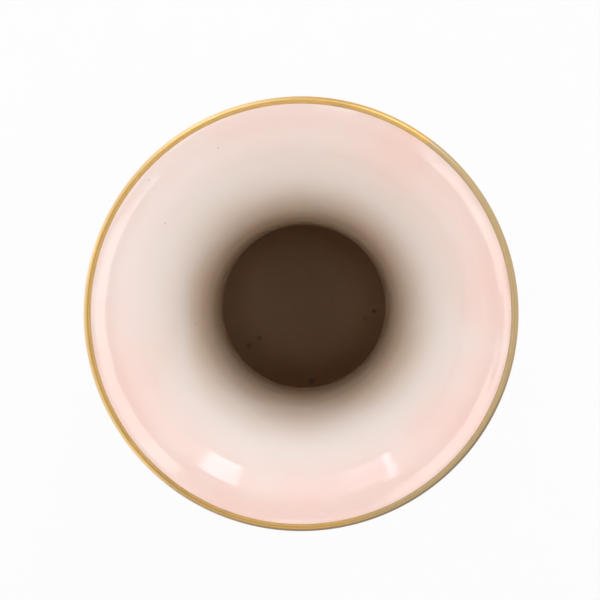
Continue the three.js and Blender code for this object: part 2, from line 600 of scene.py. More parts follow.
@dataclass(frozen=True)
class Glaze:
    """Clear glaze over porcelain, with colour dusted on from ivory to blush.

    Attributes:
        name: The material's name.
        face: The face of the wall that it covers.
        bore: The inside of the neck and the mouth.
        lip_radius: The radius that the blush is strongest at.
        height: The height of the whole vase.
        well_marks: The firing marks on the floor of the vase.
        flare_flecks_and_glints: The firing marks on the flare, and the painted glints near its throat.

    The colours and measures under those are the glaze's own recipe.
    """

    name: str
    face: Face
    bore: Bore
    lip_radius: float
    height: float
    well_marks: tuple[Fleck, ...] = ()
    flare_flecks_and_glints: tuple[Fleck, ...] = ()

    ivory: Colour = (0.885, 0.80, 0.74)
    cream: Colour = (0.885, 0.75, 0.675)
    blush: Colour = (0.915, 0.635, 0.55)
    # edge: painted shade, a darker pinkish brown beside the gilding
    edge: Colour = (0.70, 0.44, 0.33)
    # shade: painted shade, the flare darker and browner near the throat, partly a deeper glaze tint
    shade: Colour = (0.83, 0.67, 0.52)
    wall: Colour = (0.865, 0.59, 0.375)
    well: Colour = (0.99, 0.69, 0.42)
    # the dark colour of the pinholes, also mixed in as painted shade on one side of the well
    stain_and_shade: Colour = (0.10, 0.06, 0.04)

    shade_reach: Point = (-1 * MM, 14 * MM)  # how far out of the throat its painted shade starts to clear, and ends
    cream_start: float = 8 * MM  # how far out of the throat the cream starts
    cream_inset: float = 12 * MM  # how far inside the lip the cream is full
    blush_inset: Point = (23 * MM, 4 * MM)  # how far inside the lip the blush starts, and is full
    edge_shade_width: float = 2.2 * MM  # how wide the painted shade beside the gilding is
    edge_shade_share: float = 0.16  # how much of the edge colour is mixed in at the gilding, as painted shade
    pale_bearing: float = 130  # the side with the weakest blush, in degrees anticlockwise from +X
    paleness: float = 0.45  # how much of the blush is missing there
    well_edge: Point = (36 * MM, 24 * MM)  # where the pale floor starts, coming inwards, and is full
    well_lit_way: Direction = (0.87, -0.5, 0)  # the direction that the floor's painted shade clears towards
    well_shade_reach: Point = (30 * MM, -34 * MM)  # how far that way the painted shade ends, and is full
    well_shade_share: float = 0.17  # how much of the dark colour is mixed in there as painted shade
    throat_blend: Point = (-12 * MM, 20 * MM)  # where the well gives way to the flare, from the throat
    neck_blush_drop: float = 35 * MM  # how far under the throat the outside's blush starts
    foot_blush: Point = (75 * MM, 5 * MM)  # the heights that the foot's blush starts at, and is full at
    hole_scale: float = 85  # how many places for a pinhole fit in a metre
    hole_rarity: float = 0.86  # the share of them with none
    hole_edge: Point = (0.045, 0.02)  # a hole's outer and inner radius, as shares of a place's width
    hole_stain: float = 0.45  # how dark a hole is
    gloss: Point = (0.055, 0.10)  # how matt the glaze is, at its best and at its worst
    dust: float = 0.62  # how matt the floor is
    dust_level: Point = (45 * MM, 90 * MM)  # the heights that the dust starts to thin at, and is gone at
    refraction: float = 1.52  # how strongly the glaze bends light

    def flare_colour(self, sketch: Sketch, where: Socket, outwards: Socket) -> Socket:
        """Shade the flare from ivory at the throat to blush at the lip, with painted shade near the throat
        and beside the gilding.

        Args:
            sketch: The material's nodes.
            where: The place on the vase.
            outwards: How far it is from the axis.

        Returns:
            The colour there.
        """
        throat, lip = self.bore.throat_radius, self.lip_radius
        reach = sketch.maths("ADD", outwards, sketch.drift(where, scale=26, detail=1, reach=8 * MM))
        pale_side = sketch.facing(sketch.bearing(where), self.pale_bearing)
        weak = sketch.span(pale_side, 0.1, 1.0, 0.0, self.paleness)
        patches = sketch.clouds(where, scale=38, detail=2, ends=(0.55, 1.0))
        amount = sketch.maths("MULTIPLY", sketch.maths("SUBTRACT", 1.0, weak), patches)
        rosy = sketch.span(reach, lip - self.blush_inset[0], lip - self.blush_inset[1])
        warm = sketch.span(reach, throat + self.cream_start, lip - self.cream_inset)
        # painted shade near the throat, partly a deeper glaze tint, clears outwards
        open_part = sketch.span(reach, throat + self.shade_reach[0], throat + self.shade_reach[1])
        colour = sketch.blend(open_part, self.shade, self.ivory)
        colour = sketch.blend(sketch.maths("MULTIPLY", warm, amount), colour, self.cream)
        colour = sketch.blend(sketch.maths("MULTIPLY", rosy, amount), colour, self.blush)
        # painted shade: the last stretch of glaze before the gilding is darkened
        gilding_edge_shade = sketch.span(outwards, lip - self.edge_shade_width, lip, 0.0, self.edge_shade_share)
        colour = sketch.blend(gilding_edge_shade, colour, self.edge)
        return self.marked(sketch, where, colour, self.flare_flecks_and_glints)

    def well_colour(self, sketch: Sketch, where: Socket, outwards: Socket, height: Socket) -> Socket:
        """Shade the body's inside, with its paler floor, and painted shade darkening one side.

        Args:
            sketch: The material's nodes.
            where: The place on the vase.
            outwards: How far it is from the axis.
            height: How high it is.

        Returns:
            The colour there.
        """
        throat = self.bore.throat_height
        mottled = sketch.clouds(where, scale=55, detail=3, ends=(0.90, 1.0), rough=0.6)
        floor = sketch.maths("MULTIPLY", sketch.span(outwards, *self.well_edge), mottled)
        bottom = sketch.span(height, throat / 2, throat / 4)
        colour = sketch.blend(sketch.maths("MULTIPLY", floor, bottom), self.wall, self.well)
        # painted shade: one side of the well is darkened towards the dark colour
        side = sketch.vector("DOT_PRODUCT", where, self.well_lit_way, output="Value")
        side_shade = sketch.span(side, *self.well_shade_reach, 0.0, self.well_shade_share)
        return self.marked(sketch, where, sketch.blend(side_shade, colour, self.stain_and_shade), self.well_marks)

    def inner_colour(self, sketch: Sketch, where: Socket) -> Socket:
        """Shade the bore from the well, through ivory in the flare, to blush at the lip.

        Args:
            sketch: The material's nodes.
            where: The place on the vase.

        Returns:
            The colour there.
        """
        outwards = sketch.from_axis(where)
        height = sketch.parts(where)[2]
        throat = self.bore.throat_height
        depth = sketch.span(height, throat + self.throat_blend[0], throat + self.throat_blend[1])
        well = self.well_colour(sketch, where, outwards, height)
        return sketch.blend(depth, well, self.flare_colour(sketch, where, outwards))

    def outer_colour(self, sketch: Sketch, where: Socket) -> Socket:
        """Shade the outside from blush at the mouth and the foot to ivory at the belly.

        Args:
            sketch: The material's nodes.
            where: The place on the vase.

        Returns:
            The colour there.
        """
        height = sketch.parts(where)[2]
        level = sketch.maths("ADD", height, sketch.drift(where, scale=18, detail=2, reach=25 * MM))
        top = sketch.span(level, self.bore.throat_height - self.neck_blush_drop, self.height)
        foot = sketch.span(level, *self.foot_blush)
        patches = sketch.clouds(where, scale=30, detail=2, ends=(0.7, 1.0))
        amount = sketch.maths("MULTIPLY", sketch.maths("MAXIMUM", top, foot), patches)
        return sketch.blend(amount, self.ivory, self.blush)

    def marked(self, sketch: Sketch, where: Socket, colour: Socket, flecks: tuple[Fleck, ...]) -> Socket:
        """Lay firing marks and painted glints over a colour, each as it looks from straight above.

        Args:
            sketch: The material's nodes.
            where: The place on the vase.
            colour: The colour under the marks.
            flecks: The marks.

        Returns:
            The colour with the marks.
        """
        level = sketch.vector("MULTIPLY", where, LEVEL)
        for fleck in flecks:
            away = sketch.vector("DISTANCE", level, (fleck.across, fleck.along, 0), output="Value")
            ragged = sketch.maths("MULTIPLY_ADD", sketch.noise(where, scale=900), fleck.radius, away)
            spot = sketch.span(ragged, fleck.radius * 1.5, fleck.radius * 0.5, 0.0, fleck.strength)
            colour = sketch.blend(spot, colour, fleck.tint)
        return colour

    def pinholes(self, sketch: Sketch, where: Socket) -> Socket:
        """Scatter pinholes, a few to a hand's breadth.

        Args:
            sketch: The material's nodes.
            where: The place on the vase.

        Returns:
            1 in a hole and 0 elsewhere.
        """
        cells = sketch.node("TexVoronoi", feature="F1")
        sketch.feed(cells.inputs["Vector"], where)
        cells.inputs["Scale"].default_value = self.hole_scale
        chosen = sketch.node("SeparateColor")
        sketch.feed(chosen.inputs[0], cells.outputs["Color"])
        rare = sketch.maths("GREATER_THAN", chosen.outputs[0], self.hole_rarity)
        hole = sketch.span(cells.outputs["Distance"], *self.hole_edge)
        return sketch.maths("MULTIPLY", hole, rare)

    def material(self) -> bpy.types.Material:
        """Build the material.

        Returns:
            The material.
        """
        made, sketch, shader = blank(self.name)
        where = sketch.node("TexCoord").outputs["Object"]
        shading = self.inner_colour if self.face is Face.INNER else self.outer_colour
        holes = self.pinholes(sketch, where)
        stained = sketch.maths("MULTIPLY", holes, self.hole_stain)
        sketch.feed(shader.inputs["Base Color"], sketch.blend(stained, shading(sketch, where), self.stain_and_shade))
        rough = sketch.clouds(where, scale=120, detail=3, ends=self.gloss)
        if self.face is Face.INNER:
            rough = sketch.span(sketch.parts(where)[2], *self.dust_level, self.dust, rough)
        sketch.feed(shader.inputs["Roughness"], rough)
        shader.inputs["IOR"].default_value = self.refraction
        slow = sketch.bump(sketch.noise(where, scale=45, detail=1), 0.35 * MM)
        skin = sketch.bump(sketch.noise(where, scale=420), 0.012 * MM, under=slow)
        sketch.feed(shader.inputs["Normal"], sketch.bump(holes, -0.15 * MM, under=skin))
        return made


@dataclass(frozen=True)
class Gilding:
    """Fired gold, tarnished in places, with a painted highlight and painted shade on the lip's outer edge.

    Attributes:
        name: The material's name.
        rim_radius: The radius of a lip's outer edge, or 0 where it is not on the lip.
        rough: How matt it is.
        thin_arc: The bearings that the lip's thin stretch runs between, in degrees anticlockwise from +X.
        shaded_arc: The bearings that its outer edge is darkened between, as painted shade.
        highlight_side: The bearing that its outer edge's painted highlight is strongest at.

    The colours and measures under those are the gilding's own recipe.
    """

    name: str
    rim_radius: float = 0.0
    rough: float = 0.30
    thin_arc: tuple[float, float] = (-70, 55)
    shaded_arc: tuple[float, float] = (-130, -15)
    highlight_side: float = 165

    gold: Colour = (0.70, 0.43, 0.14)
    tarnish: Colour = (0.46, 0.28, 0.11)
    # a painted highlight on the outer edge of the lip, on its lit side
    painted_highlight: Colour = (0.93, 0.68, 0.36)
    thin: Colour = (0.56, 0.405, 0.21)
    # rubbed: painted shade, the colour that darkens the lip's outer edge over one stretch
    rubbed: Colour = (0.20, 0.145, 0.10)
    # brown: thin gold at the inner edge, partly painted shade
    brown: Colour = (0.36, 0.22, 0.12)

    wear: float = 0.45  # how much of the gold is tarnished at most
    outer_band: Point = (1.3 * MM, 0.5 * MM)  # how far inside the rim its outer edge starts, and is full
    outer_share: float = 0.8  # how much of the painted highlight and the painted shade it takes
    inner_band: Point = (1.0 * MM, 0.1 * MM)  # how far out of the glaze its brown edge ends, and is full
    inner_share: float = 0.42  # how brown it is, as thin gold and partly as painted shade
    raggedness: float = math.radians(3)  # how far the ends of the stretches wander
    thin_ease: Point = (12, 1)  # how slowly the thin stretch comes and goes, in degrees
    shaded_ease: Point = (10, 18)  # how slowly the painted shade's stretch comes and goes, in degrees

    def within(self, sketch: Sketch, angle: Socket, limits: tuple[float, float], ease: Point) -> Socket:
        """Say where a bearing is between two others.

        Args:
            sketch: The material's nodes.
            angle: The bearing, in radians.
            limits: The two others, in degrees.
            ease: How many degrees the start and the end take to come and go.

        Returns:
            1 between them and 0 elsewhere.
        """
        first, last = (math.radians(limit) for limit in limits)
        start = sketch.span(angle, first - math.radians(ease[0]), first + math.radians(ease[0]))
        end = sketch.span(angle, last + math.radians(ease[1]), last - math.radians(ease[1]))
        return sketch.maths("MULTIPLY", start, end)

    def lip_wear_and_painted_light(self, sketch: Sketch, where: Socket, colour: Socket) -> Socket:
        """Lay the lip's outer edge, with painted highlight and painted shade, its thin stretch and brown
        inner edge over its gold.

        Args:
            sketch: The material's nodes.
            where: The place on the vase.
            colour: The gold.

        Returns:
            The colour of the lip.
        """
        angle = sketch.bearing(where)
        ragged = sketch.maths("MULTIPLY_ADD", sketch.noise(where, scale=400), self.raggedness, angle)
        outwards = sketch.from_axis(where)
        start, end = (self.rim_radius - inset for inset in self.outer_band)
        outer_edge = sketch.span(outwards, start, end, 0.0, self.outer_share)
        # painted highlight: the outer edge lightened on its lit side
        lit_side = sketch.span(sketch.facing(angle, self.highlight_side), 0.15, 0.5)
        colour = sketch.blend(sketch.maths("MULTIPLY", lit_side, outer_edge), colour, self.painted_highlight)
        colour = sketch.blend(self.within(sketch, ragged, self.thin_arc, self.thin_ease), colour, self.thin)
        # painted shade: the outer edge darkened over one stretch of bearings
        shaded_side = self.within(sketch, ragged, self.shaded_arc, self.shaded_ease)
        colour = sketch.blend(sketch.maths("MULTIPLY", shaded_side, outer_edge), colour, self.rubbed)
        # the brown inner edge: thin gold, partly painted shade
        start, end = (self.rim_radius - LIP_GILT_WIDTH + reach for reach in self.inner_band)
        return sketch.blend(sketch.span(outwards, start, end, 0.0, self.inner_share), colour, self.brown)

    def material(self) -> bpy.types.Material:
        """Build the material.

        Returns:
            The material.
        """
        made, sketch, shader = blank(self.name)
        where = sketch.node("TexCoord").outputs["Object"]
        worn = sketch.span(sketch.noise(where, scale=42, detail=3, rough=0.6), 0.5, 0.75, 0.0, self.wear)
        colour = sketch.blend(worn, self.gold, self.tarnish)
        if self.rim_radius > 0:
            colour = self.lip_wear_and_painted_light(sketch, where, colour)
        sketch.feed(shader.inputs["Base Color"], colour)
        fine = sketch.noise(where, scale=900, rough=0.6)
        rough = sketch.span(fine, *CLOUDS, self.rough - 0.03, self.rough + 0.05)
        sketch.feed(shader.inputs["Roughness"], rough)
        shader.inputs["Metallic"].default_value = 1.0
        grain = sketch.bump(fine, 0.001 * MM)
        uneven = sketch.bump(sketch.noise(where, scale=160), 0.03 * MM, under=grain)
        sketch.feed(shader.inputs["Normal"], uneven)
        return made


@dataclass(frozen=True)
class Biscuit:
    """Bare fired porcelain, ground flat and a little soiled.

    Attributes:
        name: The material's name.
        bare: The colour of the clean biscuit.
        soil: The colour of the dirt on it.
    """

    name: str
    bare: Colour = (0.80, 0.755, 0.68)
    soil: Colour = (0.42, 0.35, 0.27)

    def material(self) -> bpy.types.Material:
        """Build the material.

        Returns:
            The material.
        """
        made, sketch, shader = blank(self.name)
        where = sketch.node("TexCoord").outputs["Object"]
        dirt = sketch.span(sketch.noise(where, scale=130, detail=5, rough=0.7), 0.48, 0.75, 0.0, 0.6)
        sketch.feed(shader.inputs["Base Color"], sketch.blend(dirt, self.bare, self.soil))
        grain = sketch.noise(where, scale=2400, detail=3, rough=0.7)
        sketch.feed(shader.inputs["Roughness"], sketch.span(grain, *CLOUDS, 0.62, 0.85))
        sketch.feed(shader.inputs["Normal"], sketch.bump(grain, 0.05 * MM))
        return made


@dataclass(frozen=True)
class WhitePaper:
    """A white sweep that keeps the vase's shadow.

    Attributes:
        name: The material's name.
        plain: How much of the white is free of shadow.
    """

    name: str
    plain: float = 0.88

    def material(self) -> bpy.types.Material:
        """Build the material.

        Returns:
            The material.
        """
        made, sketch, shader = blank(self.name)
        where = sketch.node("TexCoord").outputs["Object"]
        paper = sketch.span(sketch.noise(where, scale=60, detail=3), 0.2, 0.8, 0.83, 0.86)
        tone = sketch.node("CombineColor")
        for socket in tone.inputs[:3]:
            sketch.feed(socket, paper)
        sketch.feed(shader.inputs["Base Color"], tone.outputs[0])
        shader.inputs["Roughness"].default_value = 0.7
        glow = sketch.node("Emission")
        glow.inputs["Strength"].default_value = 1.0
        seen = sketch.maths("MAXIMUM", *sketch.rays())
        mixer = sketch.node("MixShader")
        sketch.feed(mixer.inputs[0], sketch.maths("MULTIPLY", seen, self.plain))
        sketch.feed(mixer.inputs[1], shader.outputs[0])
        sketch.feed(mixer.inputs[2], glow.outputs[0])
        surface(made, sketch, mixer.outputs[0])
        return made


@dataclass
class Finishes:
    """Every finish of the vase, made once.

    Attributes:
        bore: The inside of the neck and the mouth.
        lip_radius: The radius of the glaze's edge at the lip.
        rim_radius: The radius of the outermost edge of the lip.
        height: The height of the whole vase.
        outside: Glaze on an outer face.
        inside: Glaze on an inner face.
        gilding: Fired gold.
        lip_gilding: Fired gold on the lip, thin on one side, with painted highlight and painted shade on its
            edges.
        biscuit: Bare porcelain.
    """

    bore: Bore
    lip_radius: float
    rim_radius: float
    height: float
    outside: bpy.types.Material = field(init=False)
    inside: bpy.types.Material = field(init=False)
    gilding: bpy.types.Material = field(init=False)
    lip_gilding: bpy.types.Material = field(init=False)
    biscuit: bpy.types.Material = field(init=False)

    def __post_init__(self) -> None:
        """Make the materials."""
        sizes = (self.bore, self.lip_radius, self.height)
        well_marks = (
            Fleck(31.1 * MM, -5.6 * MM, 1.5 * MM, 0.6),
            Fleck(27.2 * MM, -9.0 * MM, 1.9 * MM, 0.25),
            Fleck(-22.2 * MM, -18.1 * MM, 1.7 * MM, 0.35),
            Fleck(-26.8 * MM, -21.4 * MM, 2.2 * MM, 0.4),
            Fleck(2.3 * MM, -37.6 * MM, 2.2 * MM, 0.4),
        )
        # a light colour for painted glints near the throat
        pale = (0.95, 0.90, 0.84)
        flare_flecks_and_glints = (
            # painted glints: three light flecks near the throat
            Fleck(22.6 * MM, 23.9 * MM, 0.4 * MM, 0.7, pale),
            Fleck(27.9 * MM, 15.4 * MM, 0.4 * MM, 0.6, pale),
            Fleck(29.7 * MM, -11.1 * MM, 0.4 * MM, 0.6, pale),
            Fleck(-26.6 * MM, 53.5 * MM, 0.4 * MM, 0.45),
            Fleck(-44.0 * MM, 29.4 * MM, 0.4 * MM, 0.45),
            Fleck(-48.8 * MM, 43.2 * MM, 0.35 * MM, 0.4),
        )
        self.outside = Glaze("glaze_outside", Face.OUTER, *sizes).material()
        self.inside = Glaze("glaze_inside", Face.INNER, *sizes, well_marks, flare_flecks_and_glints).material()
        self.gilding = Gilding("fired_gold").material()
        self.lip_gilding = Gilding("fired_gold_lip", self.rim_radius, 0.38).material()
        self.biscuit = Biscuit("bare_biscuit").material()


# ---------------------------------------------------------------------------------------------------------
# The vase
# ---------------------------------------------------------------------------------------------------------


def span_of(node: str) -> tuple[float, float, float]:
    """Measure a node of the frame.

    Args:
        node: The node's name.

    Returns:
        Its largest radius, its lowest height and its highest height.
    """
    low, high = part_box(node)
    return high.x, low.z, high.z


def measure_bore() -> Bore:
    """Work out the inside of the neck and the mouth from the frame.

    Returns:
        The bore.
    """
    throat_radius = span_of("shoulder_lute")[0] + 0.2 * MM - NECK_WALL
    lip_radius, _, lip_top = span_of("gilt_lip")
    return Bore(throat_radius, 190 * MM, lip_radius + 1 * MM, lip_top)


@dataclass
class Assembly:
    """A part of the vase whose pieces are made together.

    Attributes:
        wheel: What turns the pieces.
        finishes: What they are dressed in.
    """

    wheel: Wheel
    finishes: Finishes

    def glazed(self, node: str, outline: Outline, slot: str = "glaze") -> bpy.types.Object:
        """Turn a piece that is glazed inside and out.

        Args:
            node: The frame's node that it stands for.
            outline: Its outline.
            slot: A name that is handed on to the wheel.

        Returns:
            The piece.
        """
        return self.wheel.make(node, slot, outline, self.finishes.outside, self.finishes.inside)

    def gilded(self, node: str, outline: Outline) -> bpy.types.Object:
        """Turn a piece that is gilded.

        Args:
            node: The frame's node that it stands for.
            outline: Its outline.

        Returns:
            The piece.
        """
        return self.wheel.make(node, "gilding", outline, self.finishes.gilding)

    def half_round(self, node: str, seat: float) -> bpy.types.Object:
        """Turn an applied ring with a half-round section.

        Args:
            node: The frame's node that it stands for.
            seat: The radius of the wall that it sits on.

        Returns:
            The piece.
        """
        outer, low, high = span_of(node)
        return self.gilded(node, arc((seat, (low + high) / 2), (outer - seat, (high - low) / 2), -90, 90, 28))

    def gilt_line(self, node: str, surface_line: Outline, lift: float = 0.1 * MM, sunk: float = 0.15 * MM,
                  steps: int = 8) -> bpy.types.Object:
        """Draw a fine gilt line round a surface.

        Args:
            node: The frame's node that it stands for.
            surface_line: The surface's outline, climbing.
            lift: How far the line stands off the surface at its middle.
            sunk: How far its back is let into the surface.
            steps: How many straight steps its crown is drawn in.

        Returns:
            The piece.
        """
        _, low, high = span_of(node)
        path = between(surface_line, low, high)
        (r0, z0), (r1, z1) = path[0], path[-1]
        length = math.hypot(r1 - r0, z1 - z0)
        away = ((z1 - z0) / length, (r0 - r1) / length)
        crown = []
        for step in range(steps + 1):
            share = step / steps
            height = lift * math.sin(math.pi * share)
            radius = r0 + (r1 - r0) * share + away[0] * height
            crown.append((radius, z0 + (z1 - z0) * share + away[1] * height))
        back = [(r1 - away[0] * sunk, z1 - away[1] * sunk), (r0 - away[0] * sunk, z0 - away[1] * sunk)]
        return self.gilded(node, [*crown, *back])


@dataclass
class Foot(Assembly):
    """The ground ring, the spreading foot and the gilded band and ring on it.

    Attributes:
        rim_width: The width of the ground ring.
        rubbed_edge: How round its edges are rubbed.
        wall: The foot's thickness at the ground ring.
        hollow_radius: The radius of the hollow under the waist.
        toe: How round the foot's lower edge is.
        brow: The width and height of the round above the band.
        step_in: How far the small step is set in from the edge.
        groove: How round the corner under the step is.
        bead: How round the step's upper edge is.
        gilt_lift: How far the band's gilding stands off the glaze.
    """

    rim_width: float = 5.4 * MM
    rubbed_edge: float = 0.9 * MM
    wall: float = 7.5 * MM
    hollow_radius: float = 20 * MM
    toe: float = 1 * MM
    brow: Point = (1.6 * MM, 1.5 * MM)
    step_in: float = 3.6 * MM
    groove: float = 0.5 * MM
    bead: float = 1.2 * MM
    gilt_lift: float = 0.12 * MM

    def rim(self) -> bpy.types.Object:
        """Turn the unglazed ring that the vase stands on, with its edges rubbed round.

        Returns:
            The piece.
        """
        outer, low, _ = span_of("foot_rim")
        foot_base = span_of("pedestal_foot")[1]
        inner = outer - self.rim_width
        edge = self.rubbed_edge
        sole = arc((inner + edge, low + edge), (edge, edge), 180, 270, 8)
        side = arc((outer - edge, low + edge), (edge, edge), 270, 360, 8)
        outline = [*sole, *side, (outer, foot_base), (inner, foot_base)]
        return self.wheel.make("foot_rim", "biscuit", outline, self.finishes.biscuit)

    def pedestal(self) -> bpy.types.Object:
        """Turn the foot: an upright edge, a small step, and a cove drawn in to the waist.

        Returns:
            The piece.
        """
        outer, low, _ = span_of("pedestal_foot")
        waist, lute_low, _ = span_of("foot_lute")
        band_high = span_of("foot_gilt_band")[2]
        ring_low = span_of("waist_ring")[1]
        step = outer - self.step_in
        toe, groove, bead = ((size, size) for size in (self.toe, self.groove, self.bead))
        edge = arc((outer - self.toe, low + self.toe), toe, 270, 360, 6)
        brow = arc((outer - self.brow[0], band_high), self.brow, 0, 90, 10)
        riser = arc((step + self.groove, band_high + 2.0 * MM), groove, 270, 180, 5)
        round_top = arc((step - self.bead, band_high + 2.6 * MM), bead, 0, 90, 8)
        start = (step - 1.9 * MM, band_high + 3.6 * MM)
        end = (waist, ring_low + 0.4 * MM)
        cove = curve(start, (start[0] - 9 * MM, start[1]), (waist, ring_low - 7 * MM), end, 26)
        hollow = (self.hollow_radius, lute_low)
        mouth = (outer - self.wall, low)
        recess = curve(hollow, (hollow[0], 13 * MM), (mouth[0] - 8 * MM, mouth[1] + 3 * MM), mouth, 20)
        outline = [*edge, *brow, *riser, *round_top, *cove, (waist, lute_low), *recess]
        return self.wheel.make("pedestal_foot", "glaze", outline, self.finishes.outside)

    def band(self) -> bpy.types.Object:
        """Lay the gilding on the foot's upright edge.

        Returns:
            The piece.
        """
        edge = span_of("pedestal_foot")[0]
        _, low, high = span_of("foot_gilt_band")
        bulge = arc((edge, (low + high) / 2), (self.gilt_lift, (high - low) / 2), -90, 90, 12)
        sunk = edge - 0.05 * MM
        return self.gilded("foot_gilt_band", [*bulge, (sunk, high), (sunk, low)])

    def lute(self) -> bpy.types.Object:
        """Turn the slip joint under the waist ring.

        Returns:
            The piece.
        """
        outer, low, _ = span_of("foot_lute")
        outline = tube(self.hollow_radius, outer, low, span_of("body_cup")[1])
        return self.wheel.make("foot_lute", "slip", outline, self.finishes.outside)

    def ring(self) -> bpy.types.Object:
        """Turn the applied ring at the waist."""
        return self.half_round("waist_ring", span_of("foot_lute")[0])

    def build(self) -> list[bpy.types.Object]:
        """Make every piece of the foot."""
        return [self.rim(), self.pedestal(), self.band(), self.lute(), self.ring()]


@dataclass
class Body(Assembly):
    """The cup and the shoulder, luted at the belly.

    Attributes:
        wall: The wall's thickness.
        floor: The floor's thickness.
        corner: How high the round corner above the floor reaches.
        corner_pull: How fully it turns in towards where the wall would meet the floor.
        corner_reach: How far inside that meeting its lower handle and its end are.
        belly_pull: How strongly the outside holds its widest radius, above and below the belly.
    """

    wall: float = 4.2 * MM
    floor: float = 7.5 * MM
    corner: float = 7.0 * MM
    corner_pull: float = 0.6
    corner_reach: Point = (1 * MM, 11 * MM)
    belly_pull: float = 38 * MM

    def outside(self) -> Outline:
        """Draw the outer surface from the waist to the neck.

        Returns:
            The line, climbing.
        """
        belly, seam_low, seam_high = span_of("belly_lute")
        waist = span_of("foot_lute")[0]
        base = span_of("body_cup")[1]
        neck = span_of("shoulder_lute")[0] + 0.2 * MM
        top = span_of("shoulder_lute")[1]
        foot_pull = (waist + 18 * MM, base + 14 * MM)
        neck_pull = (neck + 5 * MM, top - 28 * MM)
        start, end = (waist, base + 4 * MM), (neck, top)
        lower = curve(start, foot_pull, (belly, seam_low - self.belly_pull), (belly, seam_low), 44)
        upper = curve((belly, seam_high), (belly, seam_high + self.belly_pull), neck_pull, end, 44)
        return [*lower, *upper]

    def inside(self, outside: Outline) -> Outline:
        """Draw the inner face of a stretch of the wall, level with it at both ends.

        Args:
            outside: Its outer face, climbing.

        Returns:
            The inner face, climbing.
        """
        face = beside(outside, [self.wall] * len(outside))
        return [*face[:-1], (face[-1][0], outside[-1][1])]

    def cup(self) -> bpy.types.Object:
        """Turn the lower body, with the floor of the vase and a round corner above it.

        Returns:
            The piece.
        """
        seam = span_of("belly_lute")[1]
        base = span_of("body_cup")[1]
        outside = [point for point in self.outside() if point[1] <= seam + SEAM]
        floor = base + self.floor
        wall = [point for point in self.inside(outside) if point[1] > floor + self.corner]
        (r0, z0), (r1, z1) = wall[0], wall[1]
        meeting = r0 - (z0 - floor) * (r1 - r0) / (z1 - z0)
        pull = (r0 + (meeting - r0) * self.corner_pull, z0 + (floor - z0) * self.corner_pull)
        push, end = ((meeting - reach, floor) for reach in self.corner_reach)
        turn_in = curve(wall[0], pull, push, end, 16)
        outline = [(0, base), (outside[0][0], base), *outside, *reversed(wall), *turn_in[1:], (0, floor)]
        piece = self.glazed("body_cup", outline)
        for polygon in piece.data.polygons:
            if base + SEAM < polygon.center.z < seam - self.corner and polygon.normal.z > 0.5:
                polygon.material_index = 1
        return piece

    def lute(self) -> bpy.types.Object:
        """Turn the slip joint at the belly, glazed over on both faces.

        Returns:
            The piece.
        """
        outer, low, high = span_of("belly_lute")
        return self.glazed("belly_lute", tube(outer - self.wall, outer, low, high), "slip")

    def shoulder(self) -> bpy.types.Object:
        """Turn the upper body.

        Returns:
            The piece.
        """
        seam = span_of("belly_lute")[2]
        outside = [point for point in self.outside() if point[1] >= seam - SEAM]
        return self.glazed("shoulder_shell", [*outside, *reversed(self.inside(outside))])

    def line(self) -> bpy.types.Object:
        """Draw the fine gilt line on the shoulder."""
        return self.gilt_line("shoulder_gilt_line", self.outside())

    def build(self) -> list[bpy.types.Object]:
        """Make every piece of the body."""
        return [self.cup(), self.lute(), self.shoulder(), self.line()]


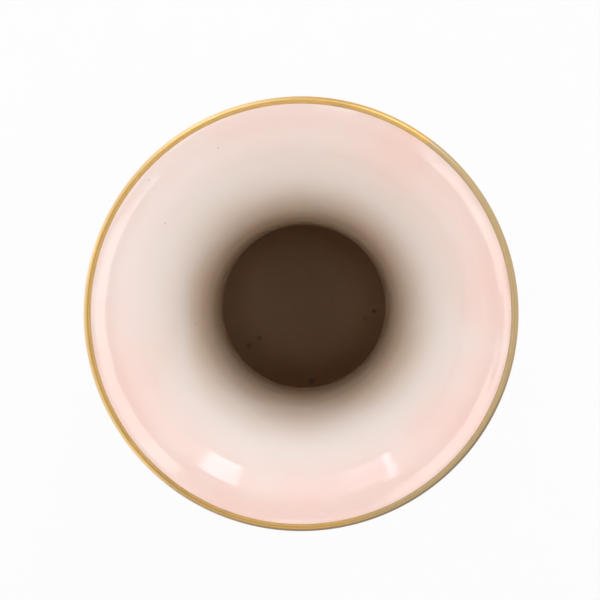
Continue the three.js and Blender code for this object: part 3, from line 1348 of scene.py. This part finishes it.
@dataclass
class Trumpet(Assembly):
    """The neck and the mouth, and the gilded lip.

    Attributes:
        lip_wall: The wall's thickness at the lip.
        foot_flare: How much wider the bore is at the neck's foot than at the throat.
    """

    lip_wall: float = 3.4 * MM
    foot_flare: float = 0.3 * MM

    def foot_radius(self) -> float:
        """Give the radius of the bore at the neck's foot."""
        return self.finishes.bore.throat_radius + self.foot_flare

    def walls(self) -> tuple[Outline, Outline]:
        """Draw both faces of the wall, which thins towards the lip.

        Returns:
            The bore and the outside, both climbing, from the neck's foot to the gilding on the lip.
        """
        foot = (self.foot_radius(), span_of("shoulder_lute")[2])
        inside = [foot, *self.finishes.bore.flare(self.finishes.lip_radius)]
        seam = span_of("neck_lute")[1]
        last = len(inside) - 1
        first_thin = next(i for i, point in enumerate(inside) if point[1] > seam)
        thinned = (max(i - first_thin, 0) / (last - first_thin) for i in range(last + 1))
        return inside, beside(inside, [-(NECK_WALL + (self.lip_wall - NECK_WALL) * thin) for thin in thinned])

    def section(self, node: str, low: float, high: float | None = None,
                slot: str = "glaze") -> bpy.types.Object:
        """Turn the stretch of the wall between two heights, cut level.

        Args:
            node: The frame's node that it stands for.
            low: The lower height.
            high: The upper height, or none where it reaches the gilding.
            slot: A name that is handed on to the wheel.

        Returns:
            The piece.
        """
        inner, outer = (between(face, low, face[-1][1] if high is None else high) for face in self.walls())
        return self.glazed(node, [*outer, *reversed(inner)], slot)

    def lower_lute(self) -> bpy.types.Object:
        """Turn the slip joint under the neck ring."""
        return self.glazed("shoulder_lute", tube(self.foot_radius(), *span_of("shoulder_lute")), "slip")

    def ring(self) -> bpy.types.Object:
        """Turn the applied ring round the foot of the neck."""
        return self.half_round("neck_ring", self.finishes.bore.throat_radius + NECK_WALL)

    def neck(self) -> bpy.types.Object:
        """Turn the neck between its two joints."""
        return self.section("neck_tube", span_of("shoulder_lute")[2], span_of("neck_lute")[1])

    def line(self) -> bpy.types.Object:
        """Draw the fine gilt line on the neck."""
        return self.gilt_line("neck_gilt_line", self.walls()[1])

    def upper_lute(self) -> bpy.types.Object:
        """Turn the slip joint in the neck."""
        return self.section("neck_lute", *span_of("neck_lute")[1:], "slip")

    def mouth(self) -> bpy.types.Object:
        """Turn the flare, up to the gilding."""
        return self.section("trumpet_mouth", span_of("neck_lute")[2])

    def lip(self) -> bpy.types.Object:
        """Turn the rounded, gilded end of the wall.

        Returns:
            The piece.
        """
        outer, low, high = span_of("gilt_lip")
        inside, outside = self.walls()
        half = (high - low) / 2
        bead = arc((outer - half, (high + low) / 2), (half, half), -96, 92, 40)
        outline = [outside[-1], *bead, inside[-1]]
        return self.wheel.make("gilt_lip", "gilding", outline, self.finishes.lip_gilding)

    def build(self) -> list[bpy.types.Object]:
        """Make every piece of the neck and the mouth."""
        neck = [self.lower_lute(), self.ring(), self.neck(), self.line()]
        return [*neck, self.upper_lute(), self.mouth(), self.lip()]


# ---------------------------------------------------------------------------------------------------------
# The studio
# ---------------------------------------------------------------------------------------------------------


@dataclass(frozen=True)
class Softbox:
    """A lamp behind a white cloth, aimed at the vase's mouth.

    Attributes:
        name: The lamp's name.
        bearing: Which way it stands from the vase, in degrees anticlockwise from +X.
        width: Its size across, in metres.
        glow: How bright its cloth looks.
        reach: Its size towards and away from overhead.
        lean: How far it stands from straight overhead, in degrees.
        distance: How far it stands from the mouth.
    """

    name: str
    bearing: float
    width: float
    glow: float
    reach: float = 0.20
    lean: float = 96
    distance: float = 1.1

    def hang(self, target: Vector) -> None:
        """Make the lamp, facing a point.

        Args:
            target: The point.
        """
        light = bpy.data.lights.new(self.name, "AREA")
        light.shape = "RECTANGLE"
        light.size, light.size_y = self.width, self.reach
        light.energy = self.glow * math.pi * self.width * self.reach
        lamp = bpy.data.objects.new(self.name, light)
        bpy.context.scene.collection.objects.link(lamp)
        bearing, lean = math.radians(self.bearing), math.radians(self.lean)
        outwards = Vector((math.cos(bearing), math.sin(bearing), 0))
        across = Vector((-math.sin(bearing), math.cos(bearing), 0))
        back = outwards * math.sin(lean) + Vector((0, 0, math.cos(lean)))
        place_object(lamp, target + back * self.distance, across, back)
        lamp.visible_camera = False


@dataclass(frozen=True)
class Card:
    """A glowing card overhead, cut as a slice of a ring round the camera.

    Attributes:
        name: The card's name.
        first: The bearing of its first side, in degrees anticlockwise from +X.
        last: The bearing of its last side.
        near: How far from straight overhead it starts, in degrees.
        far: How far from straight overhead it ends.
        glow: How bright it is.
        tint: The colour of its light.
        rise: How high it hangs over the mouth.
    """

    name: str
    first: float
    last: float
    near: float
    far: float
    glow: float
    tint: Colour = WHITE
    rise: float = 1.4

    def hang(self, target: Vector) -> None:
        """Cut the card and hang it over a point.

        Args:
            target: The point.
        """
        start, reach = (self.rise * math.tan(math.radians(lean)) for lean in (self.near, self.far))
        begin = math.radians(self.first)
        along = Vector((math.cos(begin), math.sin(begin), 0))
        centre = target + Vector((0, 0, self.rise))
        bpy.ops.object.select_all(action="DESELECT")
        bpy.ops.mesh.primitive_plane_add(size=MM, location=centre + along * start)
        card = bpy.context.object
        card.name = self.name
        bpy.ops.object.transform_apply(location=True, rotation=False, scale=False)
        bpy.ops.object.mode_set(mode="EDIT")
        bpy.ops.mesh.select_all(action="SELECT")
        bpy.ops.mesh.merge(type="CENTER")
        bpy.ops.mesh.extrude_region_move(TRANSFORM_OT_translate={"value": along * (reach - start)})
        bpy.ops.mesh.select_all(action="SELECT")
        sweep = math.radians(self.last - self.first)
        bpy.ops.mesh.spin(steps=24, angle=sweep, center=centre, axis=(0, 0, -1))
        bpy.ops.object.mode_set(mode="OBJECT")
        made, sketch, _ = blank(self.name)
        lit = sketch.node("Emission")
        lit.inputs["Strength"].default_value = self.glow
        sketch.feed(lit.inputs["Color"], self.tint)
        surface(made, sketch, lit.outputs[0])
        card.data.materials.append(made)
        card.visible_camera = False


def place_object(item: bpy.types.Object, place: Vector, right: Vector, back: Vector) -> None:
    """Stand a lamp or a camera somewhere.

    Args:
        item: What is placed.
        place: Where it goes.
        right: Which way its right side is.
        back: Which way its back is.
    """
    up = back.cross(right)
    columns = Matrix((right, up, back)).transposed().to_4x4()
    item.matrix_world = Matrix.Translation(place) @ columns


@dataclass
class Studio:
    """The white sweep, the lamps and the camera, which looks down into the mouth.

    Attributes:
        rim: The middle of the lip.
        camera_offset: Where the camera hangs from there.
        aim_offset: What it looks at, level with the lip.
        lens: Its focal length, in millimetres.
        floor_size: The width of the sweep.
        room_glow: How bright the room's walls are.
        skyline_glow: How bright it is near the ground.
        overhead_glow: How bright it is straight overhead, where the camera hangs.
        lamps: The lamps and the glowing cards.
    """

    rim: Vector
    camera_offset: tuple[float, float, float] = (6.3 * MM, 15.7 * MM, 600 * MM)
    aim_offset: tuple[float, float] = (-0.27 * MM, 4.56 * MM)
    lens: float = 111.9
    floor_size: float = 8.0
    room_glow: float = 1.165
    skyline_glow: float = 0.38
    overhead_glow: float = 0.17

    lamps: tuple[Softbox | Card, ...] = (
        Card("overhead_right", -47, 55, near=0.5, far=17.5, glow=3.0),
        Card("overhead_left_near", 130, 176, near=0.5, far=16, glow=2.8),
        Card("overhead_left_middle", 176, 194, near=0.5, far=6, glow=2.6),
        Card("overhead_left_far", 194, 231, near=0.5, far=14, glow=2.8),
        Card("window_right", 57, 68.2, near=35, far=75, glow=5.2, tint=DAYLIGHT),
        Card("window_left", 104, 120.5, near=35, far=75, glow=1.9, tint=DAYLIGHT),
        Card("window_left_edge", 120.5, 123.5, near=30, far=75, glow=5.4, tint=DAYLIGHT),
        Softbox("low_key", 240, width=0.42, glow=4.0),
        Softbox("low_fill", 165, width=0.20, glow=2.8),
        Softbox("low_back", 120, width=0.16, glow=3.0),
    )

    def floor(self) -> None:
        """Lay the sweep, its middle drawn finer than its edges."""
        bpy.ops.object.select_all(action="DESELECT")
        bpy.ops.mesh.primitive_plane_add(size=self.floor_size)
        sweep = bpy.context.object
        sweep.name = "white_sweep"
        bpy.ops.object.mode_set(mode="EDIT")
        bpy.ops.mesh.select_all(action="SELECT")
        bpy.ops.mesh.inset(thickness=self.floor_size / 3)
        bpy.ops.object.mode_set(mode="OBJECT")
        sweep.data.materials.append(WhitePaper("white_paper").material())

    def world(self) -> None:
        """Light the room softly, darker straight overhead where the camera hangs, and white to the eye."""
        room = bpy.data.worlds.new("studio_room")
        bpy.context.scene.world = room
        room.use_nodes = True
        sketch = Sketch(room.node_tree)
        background = room.node_tree.nodes["Background"]
        up = sketch.parts(sketch.node("TexCoord").outputs["Generated"])[2]
        overhead = sketch.span(up, 0.70, 0.95, self.room_glow, self.overhead_glow)
        walls = sketch.span(up, 0.05, 0.40, self.skyline_glow, self.room_glow)
        room_glow = sketch.maths("MINIMUM", overhead, walls)
        camera_ray, mirrored = sketch.rays()
        backdrop = sketch.maths("MULTIPLY", mirrored, sketch.span(up, 0.20, 0.05))
        seen = sketch.maths("MAXIMUM", camera_ray, backdrop)
        background.inputs["Color"].default_value = (*WHITE, 1)
        sketch.feed(background.inputs["Strength"], sketch.maths("MAXIMUM", room_glow, seen))

    def camera(self) -> None:
        """Hang the camera over the mouth, a little off the axis."""
        data = bpy.data.cameras.new("overhead_camera")
        data.lens = self.lens
        data.clip_end = 50
        eye = bpy.data.objects.new("overhead_camera", data)
        bpy.context.scene.collection.objects.link(eye)
        place = self.rim + Vector(self.camera_offset)
        aim = self.rim + Vector((*self.aim_offset, 0))
        back = (place - aim).normalized()
        right = Vector((0, 1, 0)).cross(back).normalized()
        place_object(eye, place, right, back)
        bpy.context.scene.camera = eye
        bpy.context.scene.view_settings.view_transform = "Standard"

    def build(self) -> None:
        """Set up the whole studio."""
        self.floor()
        self.world()
        for lamp in self.lamps:
            lamp.hang(self.rim)
        self.camera()


def main() -> None:
    """Build the studio and the vase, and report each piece."""
    logging.basicConfig(level=logging.INFO, format="%(name)s: %(message)s")
    rim_radius, lip_low, lip_top = span_of("gilt_lip")
    Studio(Vector((0, 0, (lip_low + lip_top) / 2))).build()
    wheel = Wheel()
    finishes = Finishes(measure_bore(), rim_radius - LIP_GILT_WIDTH, rim_radius, lip_top)
    for assembly in (Foot(wheel, finishes), Body(wheel, finishes), Trumpet(wheel, finishes)):
        for piece in assembly.build():
            log.info("%s: %s, %d faces", type(assembly).__name__, piece.name, len(piece.data.polygons))


if __name__ == "__main__":
    main()
